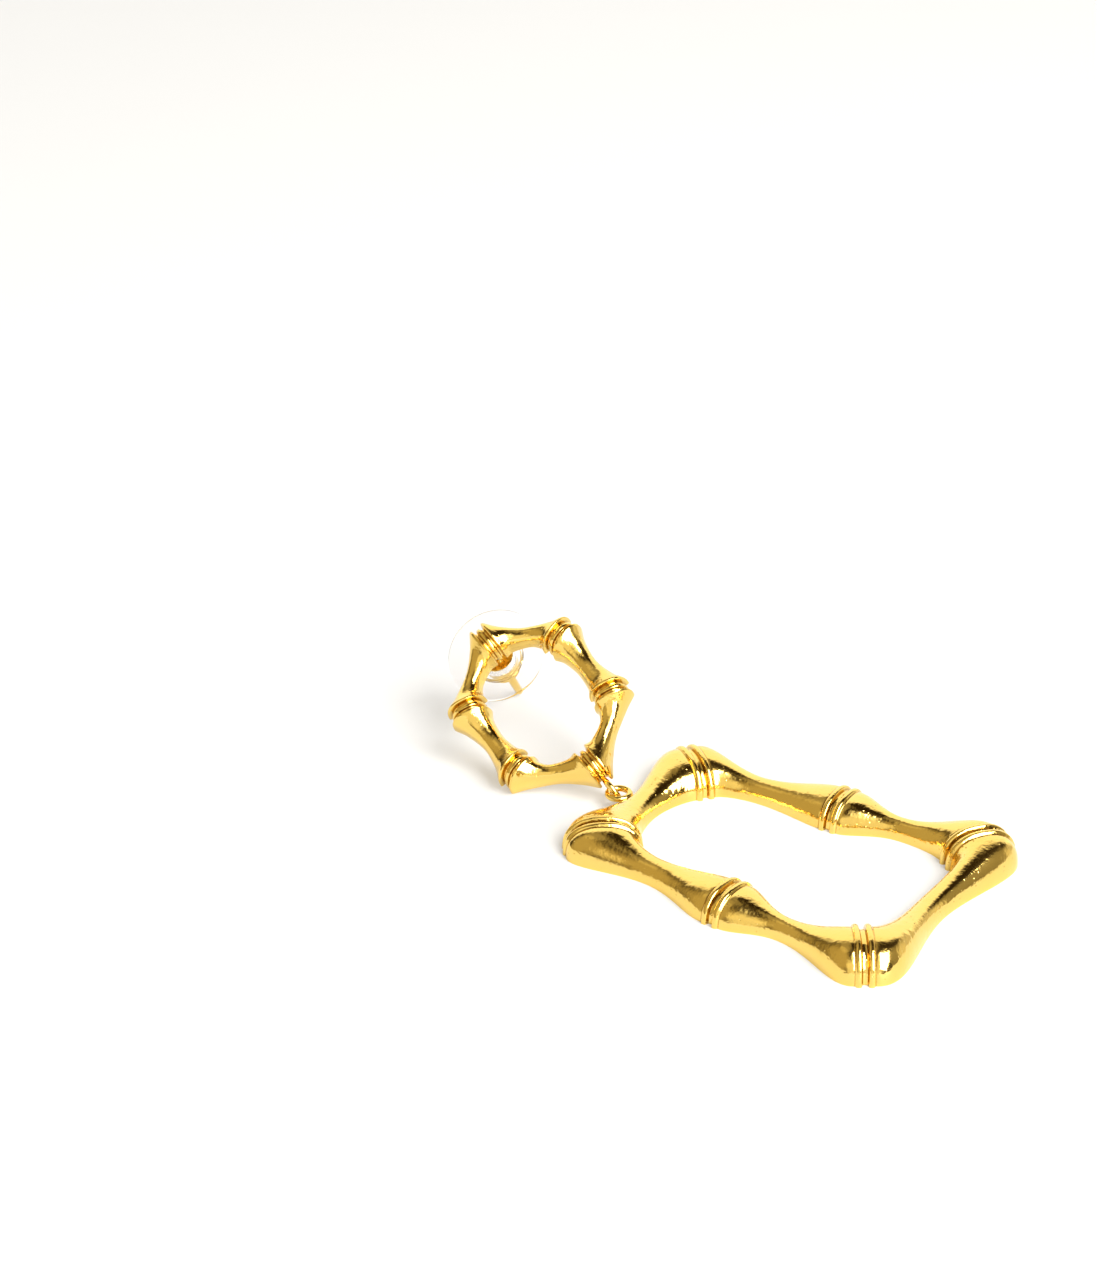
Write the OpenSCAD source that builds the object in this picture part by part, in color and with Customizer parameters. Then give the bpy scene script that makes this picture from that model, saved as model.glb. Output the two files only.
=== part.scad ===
// Bamboo drop earring, lying face up on a flat surface.
// The drop rests on its rim, the stud ring leans on one of its nodes and on the tip of its post.
// +X runs from the link end to the far end of the drop, and z = 0 is the surface.

/* [Drop frame] */
// Half of the drop's length, from the middle nodes to the far corner nodes
drop_far_x = 15.2; // [13:0.1:17]
// Half of the drop's length, from the middle nodes to the link corner nodes
drop_link_x = 16.25; // [15:0.05:19]
// Sideways place of the far corner nodes
drop_far_y = 11.5; // [10:0.1:13]
// Sideways place of the middle nodes
drop_mid_y = 10.8; // [10:0.1:12]
// Sideways place of the link corner nodes
drop_link_y = 8.35; // [8:0.05:10]
// Height of the drop at its corner nodes
drop_h = 3.3; // [2.8:0.1:4]
// Half width of the drop at its middle nodes
drop_node_w = 3.15; // [2.8:0.05:3.6]
// Half width of the drop at its thinnest waists
drop_waist_w = 1.25; // [1.15:0.05:1.6]
// Thickness of the cast wall
drop_wall = 0.8; // [0.6:0.05:1]

/* [Stud ring] */
// Distance from the ring's middle to the middle of its link node
stud_long_r = 9.2; // [8.5:0.05:9.8]
// Sideways place of the four side nodes
stud_side_x = 6.2; // [5.8:0.1:6.8]
// Lengthwise place of the four side nodes
stud_side_y = 4.35; // [4:0.05:4.8]
// Half width of the ring at its nodes
stud_node_w = 1.95; // [1.6:0.05:2.2]
// Height of the ring at its nodes
stud_h = 2.6; // [2.0:0.1:3]

/* [Link] */
// Radius of the wire line of the drop's loop
loop_r = 1.12; // [1.1:0.01:1.14]
// Radius of the wire of the drop's loop
loop_wire_r = 0.33; // [0.28:0.01:0.35]
// Radius of the wire line of the stud ring's eye
eye_r = 1.11; // [1.08:0.01:1.14]
// Radius of the wire of the stud ring's eye
eye_wire_r = 0.3; // [0.26:0.01:0.32]

/* [Post and clutch] */
// Radius of the ear post
post_r = 0.45; // [0.4:0.05:0.5]
// Length of the ear post behind the ring
post_l = 13; // [11:0.5:14]
// Distance from the ring's middle to the post
post_y = 9.25; // [9:0.05:10]
// Gap between the ring's back and the clear disc
clutch_gap = 2.3; // [0.3:0.1:3]
// Radius of the clear disc
disc_r = 5.25; // [4.5:0.05:6]
// Radius of the clutch's wide part
bullet_r = 1.8; // [1.6:0.05:2]

/* [Hidden] */

gold = [0.93, 0.74, 0.22];
clear_plastic = [0.9, 0.93, 0.95, 0.4];

// Table columns: a node or waist is [x, y, aim, half width, height], aim being the
// direction in degrees in which its section line points outwards.
X = 0;
Y = 1;
AIM = 2;
HALF = 3;
HIGH = 4;

// Drop: one half of the outline, from the link side to the far side. Nodes have odd places.
drop_half = [
    [-17.15, 0, 180, 1.75, 2.0],
    [-drop_link_x, drop_link_y, 142.5, 3.8, drop_h],
    [-8.9, 9.75, 95, drop_waist_w + 0.3, 2.0],
    [0, drop_mid_y, 93, drop_node_w, drop_h - 0.5],
    [6.8, 11.3, 94, drop_waist_w, 1.85],
    [drop_far_x, drop_far_y, 55, 3.6, drop_h + 0.1],
    [16.2, 0, 0, drop_waist_w + 0.2, 2.0]
];
// Stud ring: one quarter of the outline, from the side waist to the post's node.
stud_quarter = [
    [-6.25, 0, 180, 1.2, 1.75],
    [-stud_side_x, stud_side_y, 166, stud_node_w, stud_h],
    [-3.7, 7, 123, 1.0, 1.75],
    [0, stud_long_r, 90, stud_node_w + 0.05, stud_h]
];

// Profile of a node away from its middle, [distance, rise].
// The drop has a groove between two raised bands.
drop_band = [[0, -0.22], [0.24, -0.22], [0.36, 0.24], [0.84, 0.24], [1.02, 0]];
// The ring has a low band in a groove between two flared lips.
stud_band = [[0, -0.02], [0.2, -0.02], [0.3, -0.3], [0.46, -0.3], [0.6, 0.26], [0.78, 0.26]];

// How far the [inner, outer] edges run on from a node before they turn to the next waist,
// as shares of the distance between the two
drop_leads = [0.2, 0.25];
stud_leads = [0.06, 0.06];
waist_lead = 0.4;
drop_steps = 8;
stud_steps = 6;

function flip_x(row) = [-row[X], row[Y], 180 - row[AIM], row[HALF], row[HIGH]];
function flip_y(row) = [row[X], -row[Y], -row[AIM], row[HALF], row[HIGH]];
function flip_turn(row) = flip_x(flip_y(row));

// Full outlines, clockwise from the link side of the drop and from the side waist of the ring
drop_rows = concat(drop_half, [for (i = [5:-1:1]) flip_y(drop_half[i])]);
stud_rows = concat(
    stud_quarter,
    [for (i = [2:-1:1]) flip_x(stud_quarter[i])],
    [flip_turn(stud_quarter[0])],
    [for (i = [1:3]) flip_turn(stud_quarter[i])],
    [for (i = [2:-1:1]) flip_y(stud_quarter[i])]
);

function toward(angle) = [cos(angle), sin(angle)];
function row_end(row, side) = [row[X], row[Y]] + side * row[HALF] * toward(row[AIM]);
function bezier(a, b, c, d, t) =
    pow(1 - t, 3) * a + 3 * t * pow(1 - t, 2) * b + 3 * t * t * (1 - t) * c + pow(t, 3) * d;
function ease(t) = 0.5 + 0.5 * cos(180 * t);

// Point on the outer (side 1) or inner (side -1) edge, at share t of the way from the end of
// the band on a node to the middle of a waist. way is 1 for a waist that lies clockwise.
function edge_point(knot, waist, side, way, band_end, leads, t) =
    let (
        knot_run = way * toward(knot[AIM] - 90),
        waist_run = way * toward(waist[AIM] - 90),
        start = row_end(knot, side) + band_end * knot_run,
        finish = row_end(waist, side),
        span = norm(finish - start),
        lead = side > 0 ? leads[1] : leads[0]
    )
    bezier(start, start + lead * span * knot_run, finish - waist_lead * span * waist_run, finish, t);

// A station is [inner edge, outer edge, rise, height, closeness to the node]
function band_stations(knot, band, way) =
    [for (step = band)
        let (shift = way * step[0] * toward(knot[AIM] - 90))
        [row_end(knot, -1) + shift, row_end(knot, 1) + shift, step[1], knot[HIGH], 1]];
function stalk_stations(knot, waist, band, leads, way, steps) =
    let (band_end = band[len(band) - 1][0], last_rise = band[len(band) - 1][1])
    [for (i = [1:steps])
        let (t = i / steps)
        [edge_point(knot, waist, -1, way, band_end, leads, t), edge_point(knot, waist, 1, way, band_end, leads, t),
         last_rise * ease(min(1, 2 * t)), waist[HIGH] + (knot[HIGH] - waist[HIGH]) * ease(t), ease(t)]];
function half_stalk(knot, waist, band, leads, way, steps) =
    concat(band_stations(knot, band, way), stalk_stations(knot, waist, band, leads, way, steps));
function backwards(list) = [for (i = [len(list) - 1:-1:0]) list[i]];
function without_last(list) = [for (i = [0:len(list) - 2]) list[i]];
function without_first(list) = [for (i = [1:len(list) - 1]) list[i]];

// All stations round a closed loop whose odd rows are nodes and even rows are waists
function loop_stations(rows, band, leads, steps) =
    [for (i = [1:2:len(rows) - 1])
        let (
            knot = rows[i],
            before = half_stalk(knot, rows[i - 1], band, leads, -1, steps),
            after = half_stalk(knot, rows[(i + 1) % len(rows)], band, leads, 1, steps)
        )
        each concat(without_last(backwards(before)), without_last(without_first(after)),
                    [after[len(after) - 1]])];

// Place across a station: v runs from -1 at the inner edge to 1 at the outer edge
function across(station, half_w, v, z) =
    let (
        middle = (station[0] + station[1]) / 2,
        line = (station[1] - station[0]) / norm(station[1] - station[0]),
        spot = middle + v * half_w * line
    )
    [spot[0], spot[1], z];
function station_half(station) = norm(station[1] - station[0]) / 2;

// The rounded back of a bamboo stalk: nearly a half ellipse with steep flanks
dome_power = 0.85;
function dome_point(station, half_w, high, angle) =
    across(station, half_w, sign(-cos(angle)) * pow(abs(cos(angle)), dome_power),
           high * pow(max(0, sin(angle)), dome_power));

outer_arc = 12;
inner_arc = 8;
node_rib = 0.25;
rim_share = 0.55;
function shell_section(station) =
    let (
        half_w = station_half(station),
        rim = min(drop_wall, rim_share * half_w),
        hollow_h = station[3] - drop_wall - node_rib * (station[4] > 0.999 ? 1 : 0)
    )
    concat(
        [for (i = [0:outer_arc])
            dome_point(station, half_w + station[2], station[3] + station[2], 180 * i / outer_arc)],
        [for (i = [inner_arc:-1:0])
            dome_point(station, half_w - rim, hollow_h, 180 * i / inner_arc)]
    );
function solid_section(station) =
    [for (i = [0:outer_arc])
        dome_point(station, station_half(station) + station[2], station[3] + station[2],
                   180 * i / outer_arc)];

module closed_sweep(sections) {
    count = len(sections);
    sides = len(sections[0]);
    points = [for (section = sections) each section];
    faces = [for (i = [0:count - 1], j = [0:sides - 1])
        let (
            a = i * sides + j,
            b = i * sides + (j + 1) % sides,
            c = ((i + 1) % count) * sides + (j + 1) % sides,
            d = ((i + 1) % count) * sides + j
        )
        each [[a, b, c], [a, c, d]]];
    polyhedron(points = points, faces = faces, convexity = 10);
}

// Moves the whole earring so that its box is centred over the origin
box_shift = [12.99, 0.08, 0];
module placed() {
    translate(box_shift) children();
}

module wire_ring(line_r, wire_r, line_sides, wire_sides) {
    rotate_extrude($fn = line_sides) translate([line_r, 0]) circle(r = wire_r, $fn = wire_sides);
}

// The drop lies turned a little, so that its loop is at the ring's eye
drop_turn = 2.1;
drop_at = [0, -0.65, 0];
loop_at = [-19.87, -1.5, 1.35];
module drop_frame() {
    color(gold) placed() {
        translate(drop_at) rotate([0, 0, drop_turn])
            closed_sweep([for (station = loop_stations(drop_rows, drop_band, drop_leads, drop_steps))
                shell_section(station)]);
        translate(loop_at) wire_ring(loop_r, loop_wire_r, 16, 6);
    }
}

stud_at = [-31.69, 0.99, 6.53];
stud_heading = 16.5;
stud_tilt = 41.2;
stud_spin = 53;
module as_leaning() {
    placed() translate(stud_at)
        rotate([0, 0, stud_heading]) rotate([stud_tilt, 0, 0]) rotate([0, 0, stud_spin]) children();
}

eye_sunk = 0.15;
eye_y = -(stud_long_r + stud_node_w + 0.05 - eye_sunk + eye_r);
eye_z = -0.2;
solder_r = 0.9;
solder_h = 0.35;
post_tip = 0.12;
// The post's friction notch lies where the end of the clutch grips it
bullet_top = 5.5;
notch_l = 0.62;
notch_deep = 0.08;
notch_end = clutch_gap + bullet_top + 0.14;
module ear_post() {
    rotate_extrude($fn = 48) polygon([
        [0, 0.4],
        [post_r, 0.4],
        [post_r, notch_l - notch_end],
        [post_r - notch_deep, notch_l / 2 - notch_end],
        [post_r, -notch_end],
        [post_r, post_tip - post_l],
        [post_r - post_tip, -post_l],
        [0, -post_l]
    ]);
    translate([0, 0, -solder_h]) cylinder(r1 = post_r, r2 = solder_r, h = solder_h + 0.2, $fn = 48);
}
module stud_ring() {
    color(gold) as_leaning() {
        closed_sweep([for (station = loop_stations(stud_rows, stud_band, stud_leads, stud_steps))
            solid_section(station)]);
        translate([0, eye_y, eye_z]) rotate([0, 90, 0]) wire_ring(eye_r, eye_wire_r, 16, 6);
        translate([0, post_y, 0]) ear_post();
    }
}

slide_gap = 0.05;
seat_gap = 0.04;
disc_t = 0.4;
collar_r = 2.85;
collar_t = 0.7;
sleeve_r = 2.5;
sleeve_top = 2.0;
// Clutch outline from the disc to the narrow end: a cylinder, a sharp shoulder, a bell, a neck and a bead
bullet_outline = [
    [bullet_r, disc_t], [bullet_r, 3.6], [bullet_r - 0.12, 3.72], [bullet_r - 0.04, 3.86],
    [bullet_r - 0.25, 4.25], [bullet_r - 0.7, 4.6], [bullet_r - 0.76, 4.7], [bullet_r - 0.62, 4.85],
    [bullet_r - 0.62, 5.08], [bullet_r - 0.85, 5.36], [post_r + 0.2, bullet_top]
];
module on_post() {
    as_leaning() translate([0, post_y, -clutch_gap]) mirror([0, 0, 1]) children();
}
module clutch_bullet() {
    bore = post_r + slide_gap;
    color(gold) on_post() rotate_extrude($fn = 96)
        polygon(concat([[bore, disc_t]], bullet_outline, [[bore, bullet_top]]));
}
module clutch_disc() {
    bore = bullet_r + seat_gap;
    hole = post_r + 0.35;
    color(clear_plastic) on_post() rotate_extrude($fn = 96) polygon([
        [hole, 0],
        [disc_r, 0],
        [disc_r, disc_t],
        [collar_r, disc_t],
        [collar_r, disc_t + collar_t],
        [sleeve_r, disc_t + collar_t],
        [sleeve_r, sleeve_top],
        [bore, sleeve_top],
        [bore, disc_t - seat_gap],
        [hole, disc_t - seat_gap]
    ]);
}

drop_frame();
stud_ring();
clutch_bullet();
clutch_disc();
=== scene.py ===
import math

import bmesh
import bpy
from mathutils import Matrix, Vector


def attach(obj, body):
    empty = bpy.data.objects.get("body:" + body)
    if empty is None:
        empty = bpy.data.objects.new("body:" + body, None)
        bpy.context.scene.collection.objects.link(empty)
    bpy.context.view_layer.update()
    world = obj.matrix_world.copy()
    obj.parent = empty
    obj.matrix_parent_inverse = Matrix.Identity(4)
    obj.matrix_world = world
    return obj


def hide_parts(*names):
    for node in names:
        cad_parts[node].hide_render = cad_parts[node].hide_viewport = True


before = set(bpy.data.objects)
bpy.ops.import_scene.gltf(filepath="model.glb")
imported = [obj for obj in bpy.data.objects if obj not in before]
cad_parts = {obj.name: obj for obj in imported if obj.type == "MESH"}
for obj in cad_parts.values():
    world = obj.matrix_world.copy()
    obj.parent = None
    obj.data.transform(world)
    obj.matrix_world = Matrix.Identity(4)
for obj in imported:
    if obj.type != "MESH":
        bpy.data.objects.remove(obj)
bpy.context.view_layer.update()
mm = 0.001

# where the earring lies in the frame, in millimetres and degrees
placing = {
    "boxShift": Vector((12.99, 0.08, 0)),
    "dropAt": Vector((0, -0.65, 0)),
    "dropTurn": 2.1,
    "ringAt": Vector((-31.69, 0.99, 6.53)),
    "ringHeading": 16.5,
    "ringTilt": 41.2,
    "ringSpin": 53.0,
}


def moved(place):
    return Matrix.Translation(Vector(place) * mm)


def rotated(degrees, axis):
    return Matrix.Rotation(math.radians(degrees), 4, axis)


boxPose = moved(placing["boxShift"])
dropPose = boxPose @ moved(placing["dropAt"]) @ rotated(placing["dropTurn"], "Z")
ringPose = (
    boxPose @ moved(placing["ringAt"])
    @ rotated(placing["ringHeading"], "Z")
    @ rotated(placing["ringTilt"], "X")
    @ rotated(placing["ringSpin"], "Z")
)

# camera fitted to the photograph, in millimetres before the box shift
cameraView = {
    "eye": Vector((134.64, -217.01, 156.14)),
    "target": Vector((-47.828, 23.47, 0.0)),
    "focalPixels": 3000.0,
    "imageHeight": 1280,
    "sensorHeight": 24.0,
    "clipStart": 0.01,  # metres
}


def addCamera(view):
    data = bpy.data.cameras.new("photoCamera")
    data.sensor_fit = "VERTICAL"
    data.sensor_height = view["sensorHeight"]
    data.lens = view["focalPixels"] * view["sensorHeight"] / view["imageHeight"]
    data.clip_start = view["clipStart"]
    camera = bpy.data.objects.new("photoCamera", data)
    bpy.context.collection.objects.link(camera)
    eye = (view["eye"] + placing["boxShift"]) * mm
    target = (view["target"] + placing["boxShift"]) * mm
    camera.location = eye
    camera.rotation_euler = (target - eye).to_track_quat("-Z", "Y").to_euler()
    bpy.context.scene.camera = camera


addCamera(cameraView)
print("camera set")


# small helpers for node trees
def addNode(tree, kind, wires=None, **settings):
    node = tree.nodes.new(kind)
    for name, value in settings.items():
        setattr(node, name, value)
    for key, value in (wires or {}).items():
        socket = node.inputs[key]
        if isinstance(value, bpy.types.NodeSocket):
            tree.links.new(value, socket)
        else:
            socket.default_value = value
    return node


def calc(tree, operation, *values):
    return addNode(tree, "ShaderNodeMath", dict(enumerate(values)), operation=operation).outputs[0]


def calcVector(tree, operation, *values):
    node = addNode(tree, "ShaderNodeVectorMath", dict(enumerate(values)), operation=operation)
    return node.outputs["Value" if operation == "LENGTH" else "Vector"]


def scaleVector(tree, vector, factor):
    node = addNode(tree, "ShaderNodeVectorMath", {0: vector, "Scale": factor}, operation="SCALE")
    return node.outputs["Vector"]


def newMaterial(name):
    material = bpy.data.materials.new(name)
    material.use_nodes = True
    tree = material.node_tree
    tree.nodes.clear()
    shader = tree.nodes.new("ShaderNodeBsdfPrincipled")
    output = tree.nodes.new("ShaderNodeOutputMaterial")
    tree.links.new(shader.outputs[0], output.inputs["Surface"])
    return material, tree, shader, tree.nodes.new("ShaderNodeTexCoord").outputs["Object"]


def remap(tree, value, low, high, first, last):
    wires = {"Value": value, "From Min": low, "From Max": high, "To Min": first, "To Max": last}
    return addNode(tree, "ShaderNodeMapRange", wires).outputs[0]


def noise(tree, place, size, detail=2.0, roughness=0.5):
    wires = {"Vector": place, "Scale": size, "Detail": detail, "Roughness": roughness}
    return addNode(tree, "ShaderNodeTexNoise", wires).outputs[0]


def spots(tree, place, size, near, far):
    cells = addNode(tree, "ShaderNodeTexVoronoi", {"Vector": place, "Scale": size}).outputs["Distance"]
    return remap(tree, cells, near, far, 0.0, 1.0)


def mixColour(tree, factor, first, second):
    wires = {0: factor, 6: first, 7: second}
    return addNode(tree, "ShaderNodeMix", wires, data_type="RGBA").outputs[2]


def bump(tree, height, distance, under=None):
    wires = {"Height": height, "Distance": distance}
    if under is not None:
        wires["Normal"] = under
    return addNode(tree, "ShaderNodeBump", wires).outputs[0]


# finishes: sizes are cells to the metre and depths are metres; patches are (size, detail),
# relief rows are (noise, size, detail, roughness, depth) or (spots, size, near, far, depth)
goldLook = {
    "colour": (0.90, 0.665, 0.23, 1),
    "deepColour": (0.87, 0.60, 0.16, 1),
    # the next colour is painted shade in the node grooves on the fronts, and the colour of the seams across
    # the back
    "grooveShadeAndSeamColour": (0.28, 0.12, 0.02, 1),
    "patchSpan": (0.3, 0.7),
}
polish = {
    "patches": (200, 3),
    "relief": [(noise, 500, 3, 0.55, 0.00008), (noise, 1900, 1.5, 0.6, 0.000028),
               (spots, 1500, 0.04, 0.16, 0.00002)],
}
stipple = {
    "patches": (390, 2),
    "relief": [(noise, 2600, 3, 0.7, 0.00004), (spots, 1820, 0.1, 0.35, 0.000012)],
}
# dark lines are (distance from a node's middle, half width, strength), in millimetres; on the fronts they
# are painted shade along the edges of the node grooves, and on the back the line at a node's middle is a
# seam
goldFinishes = {
    "dropGold": {"surface": polish, "roughness": (0.11, 0.18),
                 "shadeAndSeamLines": [(0.27, 0.07, 0.65), (1.0, 0.08, 0.5)]},
    "hollowGold": {"surface": polish, "roughness": (0.16, 0.3), "depthShare": 1.6},
    "ringGold": {"surface": polish, "roughness": (0.11, 0.18),
                 "shadeAndSeamLines": [(0.23, 0.06, 0.6), (0.5, 0.06, 0.6), (0.95, 0.08, 0.4)]},
    "backGold": {"surface": stipple, "roughness": (0.2, 0.32), "shadeAndSeamLines": [(0.0, 0.09, 1.0)]},
    "wireGold": {"surface": polish, "roughness": (0.05, 0.1), "depthShare": 0.35},
    "clutchGold": {"surface": polish, "roughness": (0.04, 0.08), "depthShare": 0.12},
}


# darkens by distance from a node's middle: painted groove shade on the fronts, seams on the back
def nodeShadeAndSeamLines(tree, shadeAndSeamLines):
    distance = addNode(tree, "ShaderNodeAttribute", attribute_name="fromNode").outputs["Fac"]
    total = 0.0
    for place, width, strength in shadeAndSeamLines:
        offset = calc(tree, "ABSOLUTE", calc(tree, "SUBTRACT", distance, place))
        total = calc(tree, "MAXIMUM", remap(tree, offset, 0.0, width, strength, 0.0), total)
    return total


# depthShare scales the depth of the surface's relief
def goldFinish(name, look, surface, roughness, depthShare=1.0, shadeAndSeamLines=()):
    material, tree, shader, place = newMaterial(name)
    patches = noise(tree, place, *surface["patches"])
    normal = None
    for texture, size, first, second, depth in surface["relief"]:
        height = texture(tree, place, size, first, second)
        normal = bump(tree, height, depth * depthShare, normal)
    colour = mixColour(tree, patches, look["colour"], look["deepColour"])
    # the node lines paint shade into the grooves' edges, and darken the back's seams
    if shadeAndSeamLines:
        colour = mixColour(tree, nodeShadeAndSeamLines(tree, shadeAndSeamLines), colour, look["grooveShadeAndSeamColour"])
    tree.links.new(colour, shader.inputs["Base Color"])
    tree.links.new(remap(tree, patches, *look["patchSpan"], *roughness), shader.inputs["Roughness"])
    tree.links.new(normal, shader.inputs["Normal"])
    shader.inputs["Metallic"].default_value = 1.0
    return material


# haze and ripple are (size, detail)
plasticLook = {
    "colour": (0.97, 0.955, 0.95, 1),
    "hazeColour": (0.95, 0.935, 0.93, 1),
    "haze": (300, 2),
    "hazeSpan": (0.3, 0.7),
    "roughness": (0.03, 0.1),
    "ripple": (500, 2),
    "rippleDepth": 0.00002,
    "refraction": 1.22,
}


def clearPlastic(name, look):
    material, tree, shader, place = newMaterial(name)
    haze = noise(tree, place, *look["haze"])
    ripple = bump(tree, noise(tree, place, *look["ripple"]), look["rippleDepth"])
    tree.links.new(mixColour(tree, haze, look["colour"], look["hazeColour"]), shader.inputs["Base Color"])
    tree.links.new(remap(tree, haze, *look["hazeSpan"], *look["roughness"]), shader.inputs["Roughness"])
    tree.links.new(ripple, shader.inputs["Normal"])
    shader.inputs["Transmission Weight"].default_value = 1.0
    shader.inputs["IOR"].default_value = look["refraction"]
    return material


gold = {name: goldFinish(name, goldLook, **settings) for name, settings in goldFinishes.items()}
discPlastic = clearPlastic("discPlastic", plasticLook)
print("finishes made:", len(gold) + 1)


# bamboo outlines: rows are (x, y, aim, half width, height) in millimetres and degrees, clockwise,
# with the nodes in the odd places; a band row is (distance from the node's middle, rise);
# Hollow 1 makes the back hollow, and Front rims 1 gives its rims the front's finish
drop = {
    "half": [
        (-17.15, 0, 180, 1.75, 2.0),
        (-16.25, 8.35, 142.5, 3.8, 3.3),
        (-8.9, 9.75, 95, 1.55, 2.0),
        (0, 10.8, 93, 3.15, 2.8),
        (6.8, 11.3, 94, 1.25, 1.85),
        (15.2, 11.5, 55, 3.6, 3.4),
        (16.2, 0, 0, 1.45, 2.0),
    ],
    "band": [
        (0, -0.24), (0.12, -0.24), (0.21, -0.21), (0.28, -0.08), (0.33, 0.1), (0.39, 0.2), (0.48, 0.24),
        (0.6, 0.25), (0.73, 0.24), (0.84, 0.19), (0.91, 0.09), (0.96, 0.01), (1.02, -0.02), (1.1, 0),
    ],
    "leads": (0.2, 0.25),  # how far the inner and outer edges run on from a node, as a share
    "steps": 22,
    "sweep": {"Outer steps": 40.0, "Inner steps": 24.0, "Wall": 0.8 * mm, "Rim share": 0.55,
              "Node rib": 0.25 * mm, "Hollow": 1.0, "Front rims": 1.0},
}
ring = {
    "quarter": [
        (-6.25, 0, 180, 1.2, 1.75),
        (-6.2, 4.35, 166, 1.95, 2.6),
        (-3.7, 7, 123, 1.0, 1.75),
        (0, 9.2, 90, 2.0, 2.6),
    ],
    "band": [
        (0, -0.02), (0.09, -0.02), (0.17, -0.05), (0.23, -0.16), (0.29, -0.27), (0.37, -0.3),
        (0.45, -0.28), (0.51, -0.14), (0.56, 0.08), (0.61, 0.22), (0.68, 0.27), (0.78, 0.26),
    ],
    "leads": (0.06, 0.06),
    "steps": 18,
    "sweep": {"Outer steps": 36.0, "Inner steps": 16.0, "Wall": 0.5 * mm, "Rim share": 0.3,
              "Node rib": 0.0, "Hollow": 0.0, "Front rims": 0.0},
}
bamboo = {
    "waistLead": 0.4,
    "sweep": {"Dome power": 0.85, "Sharp angle": math.radians(40.0), "Weld": 0.002 * mm},
}


def flipX(row):
    x, y, aim, half, height = row
    return (-x, y, 180 - aim, half, height)


def flipY(row):
    x, y, aim, half, height = row
    return (x, -y, -aim, half, height)


def toward(angle):
    return Vector((math.cos(math.radians(angle)), math.sin(math.radians(angle)), 0))


def rowEnd(row, side):
    x, y, aim, half, height = row
    return Vector((x, y, 0)) + side * half * toward(aim)


# direction of the stalk at a row, clockwise for way 1 and the other way for way -1
def rowRun(row, way):
    return way * toward(row[2] - 90)


def ease(share):
    return 0.5 + 0.5 * math.cos(math.pi * share)


def edgePoint(knot, waist, side, way, bandEnd, lead, share):
    start = rowEnd(knot, side) + bandEnd * rowRun(knot, way)
    end = rowEnd(waist, side)
    span = (end - start).length
    second = start + lead * span * rowRun(knot, way)
    third = end - bamboo["waistLead"] * span * rowRun(waist, way)
    rest = 1 - share
    return rest**3 * start + 3 * share * rest**2 * second + 3 * share**2 * rest * third + share**3 * end


# the stations from a node's middle to the next waist
def halfStalk(knot, waist, shape, way):
    knotHeight, waistHeight = knot[4], waist[4]
    stations = []
    for distance, rise in shape["band"]:
        shift = distance * rowRun(knot, way)
        stations.append({
            "inner": rowEnd(knot, -1) + shift, "outer": rowEnd(knot, 1) + shift,
            "rise": rise, "height": knotHeight, "atNode": 1.0, "fromNode": distance,
        })
    bandEnd, lastRise = shape["band"][-1]
    innerLead, outerLead = shape["leads"]
    stalk = math.dist(knot[:2], waist[:2])
    for i in range(1, shape["steps"] + 1):
        share = i / shape["steps"]
        stations.append({
            "inner": edgePoint(knot, waist, -1, way, bandEnd, innerLead, share),
            "outer": edgePoint(knot, waist, 1, way, bandEnd, outerLead, share),
            "rise": lastRise * ease(min(1, 2 * share)),
            "height": waistHeight + (knotHeight - waistHeight) * ease(share),
            "atNode": 0.0,
            "fromNode": bandEnd + share * stalk,
        })
    return stations


# a loose row of points, one for each station, that carries the stations' sizes as attributes
def railObject(name, rows, shape):
    stations = []
    for i in range(1, len(rows), 2):
        before = halfStalk(rows[i], rows[i - 1], shape, -1)
        after = halfStalk(rows[i], rows[(i + 1) % len(rows)], shape, 1)
        stations += before[-2::-1] + after[1:]
    mesh = bpy.data.meshes.new(name)
    mesh.from_pydata([(station["inner"] + station["outer"]) / 2 * mm for station in stations], [], [])
    for label in ("inner", "outer"):
        values = [number * mm for station in stations for number in station[label]]
        mesh.attributes.new(label, "FLOAT_VECTOR", "POINT").data.foreach_set("vector", values)
    for label, unit in (("rise", mm), ("height", mm), ("atNode", 1), ("fromNode", 1)):
        values = [station[label] * unit for station in stations]
        mesh.attributes.new(label, "FLOAT", "POINT").data.foreach_set("value", values)
    rail = bpy.data.objects.new(name, mesh)
    bpy.context.collection.objects.link(rail)
    return rail


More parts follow.
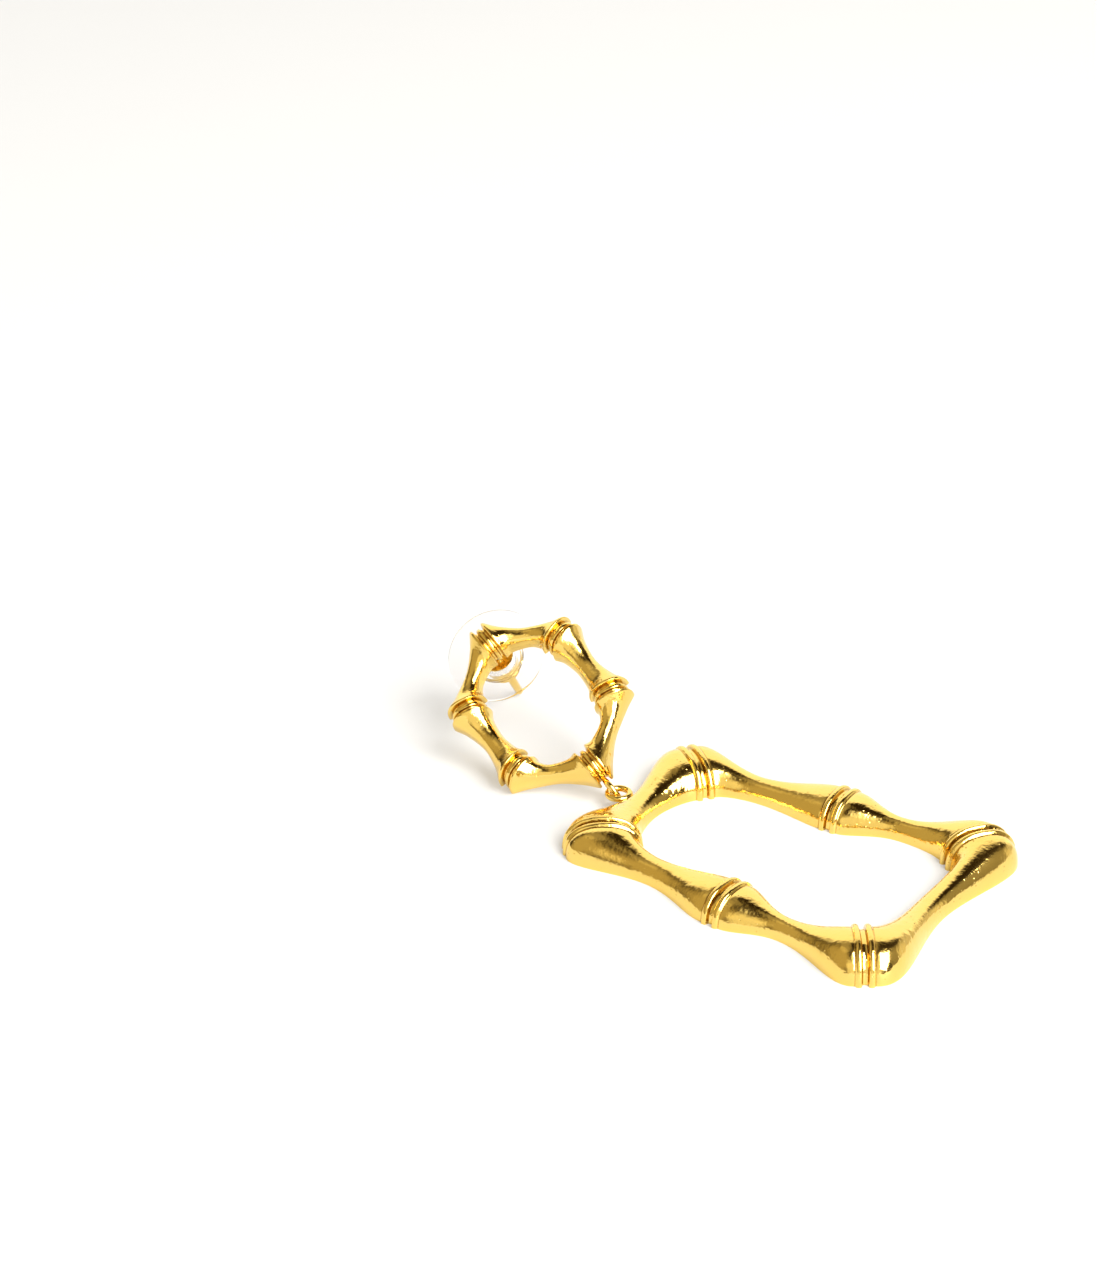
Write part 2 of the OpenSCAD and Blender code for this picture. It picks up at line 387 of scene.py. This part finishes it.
# a closed skin along the rail: a domed front, then a hollow or flat back, at every station
def bambooTree():
    tree = bpy.data.node_groups.new("bambooSweep", "GeometryNodeTree")
    face = tree.interface
    face.new_socket("Rail", in_out="INPUT", socket_type="NodeSocketGeometry")
    for label in ("Outer steps", "Inner steps", "Dome power", "Wall", "Rim share", "Node rib", "Hollow",
                  "Front rims", "Sharp angle", "Weld"):
        face.new_socket(label, in_out="INPUT", socket_type="NodeSocketFloat")
    for label in ("Front finish", "Back finish"):
        face.new_socket(label, in_out="INPUT", socket_type="NodeSocketMaterial")
    face.new_socket("Sweep", in_out="OUTPUT", socket_type="NodeSocketGeometry")
    given = tree.nodes.new("NodeGroupInput").outputs

    def do(operation, *values):
        return calc(tree, operation, *values)

    # a flat grid of stations by steps, whose last row and column are welded to the first
    domain = addNode(tree, "GeometryNodeAttributeDomainSize", {"Geometry": given["Rail"]})
    count = domain.outputs["Point Count"]
    sides = do("ADD", do("ADD", given["Outer steps"], given["Inner steps"]), 2)
    grid = addNode(tree, "GeometryNodeMeshGrid", {
        "Size X": count, "Size Y": sides,
        "Vertices X": do("ADD", count, 1), "Vertices Y": do("ADD", sides, 1),
    }).outputs["Mesh"]
    spot = tree.nodes.new("GeometryNodeInputPosition").outputs[0]
    column = addNode(tree, "ShaderNodeSeparateXYZ", {0: spot}).outputs
    station = do("MODULO", do("ROUND", do("ADD", column["X"], do("DIVIDE", count, 2))), count)
    plainStep = do("ADD", column["Y"], do("DIVIDE", sides, 2))
    step = do("MODULO", do("ROUND", plainStep), sides)

    def fromRail(label, kind="FLOAT"):
        named = addNode(tree, "GeometryNodeInputNamedAttribute", {"Name": label}, data_type=kind)
        wires = {"Geometry": given["Rail"], "Value": named.outputs["Attribute"], "Index": station}
        return addNode(tree, "GeometryNodeSampleIndex", wires, data_type=kind).outputs["Value"]

    inner, outer = fromRail("inner", "FLOAT_VECTOR"), fromRail("outer", "FLOAT_VECTOR")
    rise, height, atNode = fromRail("rise"), fromRail("height"), fromRail("atNode")
    across = calcVector(tree, "SUBTRACT", outer, inner)
    halfWidth = do("MULTIPLY", calcVector(tree, "LENGTH", across), 0.5)
    middle = scaleVector(tree, calcVector(tree, "ADD", inner, outer), 0.5)

    onBack = do("GREATER_THAN", step, do("ADD", given["Outer steps"], 0.5))

    def choose(front, back):
        return do("ADD", front, do("MULTIPLY", onBack, do("SUBTRACT", back, front)))

    # the section at a station: the front runs from the inner edge to the outer, the back returns
    backTurn = do("DIVIDE", do("SUBTRACT", do("SUBTRACT", sides, 1), step), given["Inner steps"])
    angle = do("MULTIPLY", choose(do("DIVIDE", step, given["Outer steps"]), backTurn), math.pi)
    rim = do("MINIMUM", given["Wall"], do("MULTIPLY", given["Rim share"], halfWidth))
    half = choose(do("ADD", halfWidth, rise), do("SUBTRACT", halfWidth, rim))
    ceiling = do("ADD", given["Wall"], do("MULTIPLY", atNode, given["Node rib"]))
    hollow = do("MULTIPLY", given["Hollow"], do("SUBTRACT", height, ceiling))
    high = choose(do("ADD", height, rise), hollow)
    cosine = do("COSINE", angle)
    swing = do("MULTIPLY", do("SIGN", cosine), do("POWER", do("ABSOLUTE", cosine), given["Dome power"]))
    lift = do("POWER", do("MAXIMUM", do("SINE", angle), 0.0), given["Dome power"])
    sideways = scaleVector(tree, calcVector(tree, "NORMALIZE", across), do("MULTIPLY", swing, half))
    upward = addNode(tree, "ShaderNodeCombineXYZ", {"Z": do("MULTIPLY", high, lift)}).outputs[0]
    place = calcVector(tree, "ADD", calcVector(tree, "SUBTRACT", middle, sideways), upward)

    marked = addNode(tree, "GeometryNodeStoreNamedAttribute", {
        "Geometry": grid, "Name": "fromNode", "Value": fromRail("fromNode"),
    }, data_type="FLOAT", domain="POINT").outputs[0]
    # the front or back is told on the plain grid, before the skin takes its shape
    pastFront = do("GREATER_THAN", plainStep, do("ADD", given["Outer steps"], given["Front rims"]))
    beforeEnd = do("LESS_THAN", plainStep, do("SUBTRACT", sides, given["Front rims"]))
    marked = addNode(tree, "GeometryNodeStoreNamedAttribute", {
        "Geometry": marked, "Name": "onBack", "Value": do("MULTIPLY", pastFront, beforeEnd),
    }, data_type="FLOAT", domain="FACE").outputs[0]
    skin = addNode(tree, "GeometryNodeSetPosition", {"Geometry": marked, "Position": place}).outputs[0]
    skin = addNode(tree, "GeometryNodeMergeByDistance", {
        "Geometry": skin, "Distance": given["Weld"],
    }).outputs[0]
    bend = tree.nodes.new("GeometryNodeInputMeshEdgeAngle").outputs["Unsigned Angle"]
    smooth = addNode(tree, "GeometryNodeSetShadeSmooth", {"Geometry": skin}).outputs[0]
    smooth = addNode(tree, "GeometryNodeSetShadeSmooth", {
        "Geometry": smooth, "Shade Smooth": False,
        "Selection": do("GREATER_THAN", bend, given["Sharp angle"]),
    }, domain="EDGE").outputs[0]
    real = addNode(tree, "GeometryNodeRealizeInstances", {"Geometry": smooth}).outputs[0]
    real = addNode(tree, "GeometryNodeSetMaterial", {
        "Geometry": real, "Material": given["Front finish"],
    }).outputs[0]
    isBack = addNode(tree, "GeometryNodeInputNamedAttribute", {"Name": "onBack"}, data_type="FLOAT")
    real = addNode(tree, "GeometryNodeSetMaterial", {
        "Geometry": real, "Material": given["Back finish"],
        "Selection": do("GREATER_THAN", isBack.outputs["Attribute"], 0.5),
    }).outputs[0]
    output = tree.nodes.new("NodeGroupOutput")
    tree.links.new(real, output.inputs[0])
    return tree


def socketId(tree, label):
    return next(item.identifier for item in tree.interface.items_tree if item.name == label)


# runs the tree on the rail and leaves a plain mesh at the origin
def sweptPiece(name, rows, shape, pose, tree, frontFinish, backFinish):
    rail = railObject(name + "Rail", rows, shape)
    modifier = rail.modifiers.new("sweep", "NODES")
    modifier.node_group = tree
    inputs = {**bamboo["sweep"], **shape["sweep"], "Front finish": frontFinish, "Back finish": backFinish}
    for label, value in inputs.items():
        modifier[socketId(tree, label)] = value
    evaluated = rail.evaluated_get(bpy.context.evaluated_depsgraph_get())
    mesh = bpy.data.meshes.new_from_object(evaluated)
    bpy.data.objects.remove(rail)
    mesh.name = name
    mesh.materials.pop(index=0)  # the rail's own slot, which is empty
    mesh.transform(pose)
    piece = bpy.data.objects.new(name, mesh)
    bpy.context.collection.objects.link(piece)
    return piece


sweep = bambooTree()
dropRows = drop["half"] + [flipY(row) for row in drop["half"][5:0:-1]]
quarter = ring["quarter"]
ringRows = (
    quarter
    + [flipX(row) for row in quarter[2:0:-1]]
    + [flipX(flipY(row)) for row in quarter]
    + [flipY(row) for row in quarter[2:0:-1]]
)
dropFrame = sweptPiece("dropFrame", dropRows, drop, dropPose, sweep, gold["dropGold"], gold["hollowGold"])
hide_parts("drop_frame")
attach(dropFrame, "earring")
print("drop swept:", len(dropFrame.data.polygons), "faces")
studRing = sweptPiece("studRing", ringRows, ring, ringPose, sweep, gold["ringGold"], gold["backGold"])
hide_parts("stud_ring")
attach(studRing, "earring")
print("ring swept:", len(studRing.data.polygons), "faces")


turning = {
    "sides": 96,
    "sharpAngle": 35.0,
    "weld": 0.0005,  # millimetres
}


# turned parts: a profile of (radius, height) points round the z axis, closed at the axis or on itself
def turned(name, profile, pose, finish, body, closed=False,
           sides=turning["sides"], sharpAngle=turning["sharpAngle"]):
    verts, faces = [], []
    for i in range(sides):
        angle = 2 * math.pi * i / sides
        verts += [(r * mm * math.cos(angle), r * mm * math.sin(angle), z * mm) for r, z in profile]
    rows = len(profile)
    last = rows if closed else rows - 1
    for i in range(sides):
        here, there = i * rows, (i + 1) % sides * rows
        faces += [(here + j, there + j, there + (j + 1) % rows, here + (j + 1) % rows) for j in range(last)]
    mesh = bpy.data.meshes.new(name)
    mesh.from_pydata(verts, [], faces)
    shell = bmesh.new()
    shell.from_mesh(mesh)
    bmesh.ops.remove_doubles(shell, verts=shell.verts, dist=turning["weld"] * mm)
    bmesh.ops.recalc_face_normals(shell, faces=shell.faces)
    for edge in shell.edges:
        edge.smooth = edge.calc_face_angle(0) < math.radians(sharpAngle)
    for part in shell.faces:
        part.smooth = True
    shell.to_mesh(mesh)
    shell.free()
    mesh.transform(pose)
    mesh.materials.append(finish)
    piece = bpy.data.objects.new(name, mesh)
    bpy.context.collection.objects.link(piece)
    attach(piece, body)
    return piece


# cast loop and eye, in millimetres; the loop's place is before the box shift, the eye's is on the ring
links = {
    "loopAt": (-19.87, -1.5, 1.35),
    "loopRadius": 1.12,
    "loopWire": 0.33,
    "eyeAt": (0, -12.21, -0.2),
    "eyeTurn": 90,
    "eyeRadius": 1.11,
    "eyeWire": 0.3,
    "sides": 64,
    "wireSides": 20,
    "sharpAngle": 60,
}


def wireRing(name, radius, wire, pose):
    turns = [math.tau * i / links["wireSides"] for i in range(links["wireSides"])]
    circle = [(radius + wire * math.cos(turn), wire * math.sin(turn)) for turn in turns]
    return turned(name, circle, pose, gold["wireGold"], "earring", closed=True,
                  sides=links["sides"], sharpAngle=links["sharpAngle"])


loopPose = boxPose @ moved(links["loopAt"])
dropLoop = wireRing("dropLoop", links["loopRadius"], links["loopWire"], loopPose)
eyePose = ringPose @ moved(links["eyeAt"]) @ rotated(links["eyeTurn"], "Y")
studEye = wireRing("studEye", links["eyeRadius"], links["eyeWire"], eyePose)

# the post's profile runs from its tip to its foot in the ring's back, with the friction notch between
post = {
    "at": (0, 9.25, 0),
    "sides": 48,
    "profile": [
        (0, -13), (0.16, -12.98), (0.3, -12.92), (0.4, -12.8), (0.45, -12.6), (0.45, -7.94), (0.41, -7.8),
        (0.38, -7.63), (0.41, -7.46), (0.45, -7.32), (0.45, -0.55), (0.48, -0.38), (0.56, -0.2),
        (0.7, -0.06), (0.76, 0.02), (0, 0.1),
    ],
}
postPose = ringPose @ moved(post["at"])
earPost = turned("earPost", post["profile"], postPose, gold["wireGold"], "earring",
                 sides=post["sides"])
print("links and post made")

# the clutch's profiles are (radius, distance down the post from the disc's face)
clutch = {
    "gap": 2.3,  # from the ring's back to the disc
    "cup": [
        (0.5, 0.42), (1.72, 0.42), (1.8, 0.5), (1.8, 3.5), (1.78, 3.57), (1.72, 3.61), (1.68, 3.68),
        (1.7, 3.76), (1.75, 3.83), (1.73, 3.93), (1.66, 4.08), (1.54, 4.25), (1.38, 4.4), (1.2, 4.53),
        (1.06, 4.62), (1.02, 4.69), (1.05, 4.76), (1.14, 4.83), (1.18, 4.93), (1.18, 5.03), (1.13, 5.15),
        (1.02, 5.28), (0.86, 5.39), (0.68, 5.46), (0.57, 5.46), (0.5, 5.4),
    ],
    "disc": [
        (0.82, 0.02), (5.16, 0), (5.22, 0.06), (5.25, 0.2), (5.22, 0.34), (5.16, 0.4), (2.92, 0.4),
        (2.85, 0.47), (2.85, 1.02), (2.78, 1.1), (2.56, 1.1), (2.5, 1.17), (2.5, 1.94), (2.44, 2.0),
        (1.9, 2.0), (1.84, 1.94), (1.84, 0.36), (0.82, 0.36),
    ],
}
clutchPose = postPose @ moved((0, 0, -clutch["gap"]))
cupProfile = [(r, -z) for r, z in clutch["cup"]]
discProfile = [(r, -z) for r, z in clutch["disc"]]
clutchCup = turned("clutchCup", cupProfile, clutchPose, gold["clutchGold"], "clutch",
                   closed=True)
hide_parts("clutch_bullet")
clutchDisc = turned("clutchDisc", discProfile, clutchPose, discPlastic, "clutch",
                    closed=True)
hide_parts("clutch_disc")
print("clutch made")


# table, key softbox and the room round them, in metres; directions are (compass, height) in degrees
studio = {
    "tableSize": 3.0,
    "tableColour": (0.54, 0.54, 0.54, 1),
    "tablePatches": (40, 3),
    "tablePatchShade": 0.985,
    "tableRoughness": 0.6,
    "tableSpecular": 0.2,
    "tableGlow": (0.93, 0.95, 1.0, 1),
    "tableGlowStrength": 0.27,
    "roomColour": (0.03, 0.018, 0.004, 1),
    "glows": [
        # direction, full within and gone beyond so many degrees, colour, strength
        ((128, 10), 38, 52, (1.0, 0.98, 0.93, 1), 1.15),
        ((68, 4), 8, 26, (1.0, 0.96, 0.85, 1), 0.6),
        ((304, 20), 18, 42, (1.0, 0.96, 0.82, 1), 0.85),
        ((232, 30), 18, 52, (1.0, 0.88, 0.56, 1), 0.48),
        ((180, 68), 6, 28, (1.0, 0.92, 0.68, 1), 0.35),
        ((40, 20), 8, 34, (1.0, 0.94, 0.72, 1), 0.30),
        ((-20, 58), 8, 26, (1.0, 0.98, 0.92, 1), 1.2),
    ],
    "keyFrom": (-9, 39),
    "keyRoll": -28,
    "keyDistance": 0.7,
    "keySize": (0.48, 0.84),
    "keyWatts": 9.0,
    "viewTransform": "Standard",
    "viewLook": "Medium High Contrast",
}


def heading(compass, height):
    flat = math.cos(math.radians(height))
    return Vector((flat * math.cos(math.radians(compass)), flat * math.sin(math.radians(compass)),
                   math.sin(math.radians(height))))


def addTable(look):
    size = look["tableSize"] / 2
    mesh = bpy.data.meshes.new("table")
    corners = [(-size, -size, 0), (size, -size, 0), (size, size, 0), (-size, size, 0)]
    mesh.from_pydata(corners, [], [(0, 1, 2, 3)])
    material, tree, shader, place = newMaterial("tableWhite")
    faint = noise(tree, place, *look["tablePatches"])
    white = look["tableColour"]
    shade = tuple(look["tablePatchShade"] * value for value in white[:3]) + (1,)
    tree.links.new(mixColour(tree, faint, white, shade), shader.inputs["Base Color"])
    shader.inputs["Roughness"].default_value = look["tableRoughness"]
    shader.inputs["Specular IOR Level"].default_value = look["tableSpecular"]
    shader.inputs["Emission Color"].default_value = look["tableGlow"]
    shader.inputs["Emission Strength"].default_value = look["tableGlowStrength"]
    mesh.materials.append(material)
    table = bpy.data.objects.new("table", mesh)
    bpy.context.collection.objects.link(table)


def addRoom(look):
    world = bpy.data.worlds.new("studioRoom")
    world.use_nodes = True
    tree = world.node_tree
    tree.nodes.clear()
    generated = tree.nodes.new("ShaderNodeTexCoord").outputs["Generated"]
    direction = calcVector(tree, "NORMALIZE", generated)
    colour = look["roomColour"]
    for place, full, gone, tint, strength in look["glows"]:
        wires = {0: direction, 1: heading(*place)}
        nearness = addNode(tree, "ShaderNodeVectorMath", wires, operation="DOT_PRODUCT")
        share = addNode(tree, "ShaderNodeMapRange", {
            "Value": nearness.outputs["Value"], "From Min": math.cos(math.radians(gone)),
            "From Max": math.cos(math.radians(full)), "To Min": 0.0, "To Max": strength,
        }, interpolation_type="SMOOTHSTEP").outputs[0]
        colour = addNode(tree, "ShaderNodeMix", {0: share, 6: colour, 7: tint}, data_type="RGBA",
                         blend_type="ADD", clamp_factor=False).outputs[2]
    light = addNode(tree, "ShaderNodeBackground", {"Color": colour, "Strength": 1.0})
    output = tree.nodes.new("ShaderNodeOutputWorld")
    tree.links.new(light.outputs[0], output.inputs["Surface"])
    bpy.context.scene.world = world


def addKey(look):
    lamp = bpy.data.lights.new("keySoftbox", "AREA")
    lamp.shape = "RECTANGLE"
    lamp.size, lamp.size_y = look["keySize"]
    lamp.energy = look["keyWatts"]
    box = bpy.data.objects.new("keySoftbox", lamp)
    box.location = look["keyDistance"] * heading(*look["keyFrom"])
    aim = (-box.location).to_track_quat("-Z", "Y").to_matrix()
    roll = Matrix.Rotation(math.radians(look["keyRoll"]), 3, "Z")
    box.rotation_euler = (aim @ roll).to_euler()
    bpy.context.collection.objects.link(box)


addTable(studio)
addRoom(studio)
addKey(studio)
bpy.context.scene.view_settings.view_transform = studio["viewTransform"]
bpy.context.scene.view_settings.look = studio["viewLook"]
print("studio lit")
